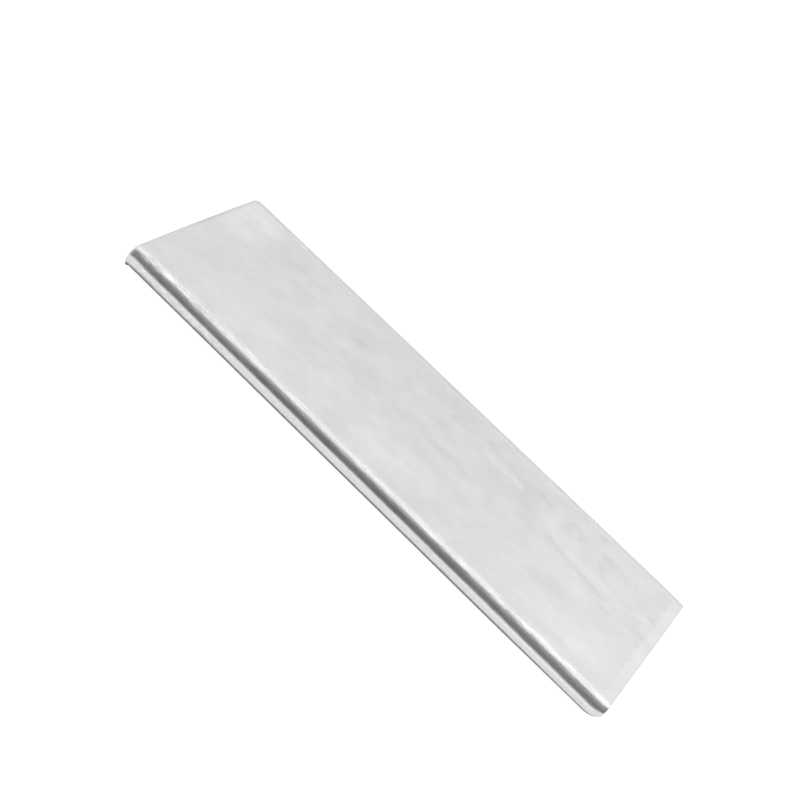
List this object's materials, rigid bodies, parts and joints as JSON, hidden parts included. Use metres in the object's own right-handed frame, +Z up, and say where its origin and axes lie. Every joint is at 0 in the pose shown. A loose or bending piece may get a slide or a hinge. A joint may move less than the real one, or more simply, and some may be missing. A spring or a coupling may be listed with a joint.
{
  "type": "metal flat bar",
  "caption": "Short length of wide aluminium flat bar with rounded long edges, lying flat, both ends cut on a shear.",
  "frame": {"origin": "middle of the face that the bar lies on, level with its lowest points", "axes": "+X along the bar towards the end that the shear pushed off, +Y across its width, +Z up through its thickness"},
  "size_m": [0.275, 0.1, 0.01],
  "materials": {
    "mill_aluminium": "rolled mill finish, pale and softly cloudy, with bright rounded edges and sheared ends"
  },
  "bodies": {
    "root": {"flat_bar": "mill_aluminium"}
  },
  "joints": []
}
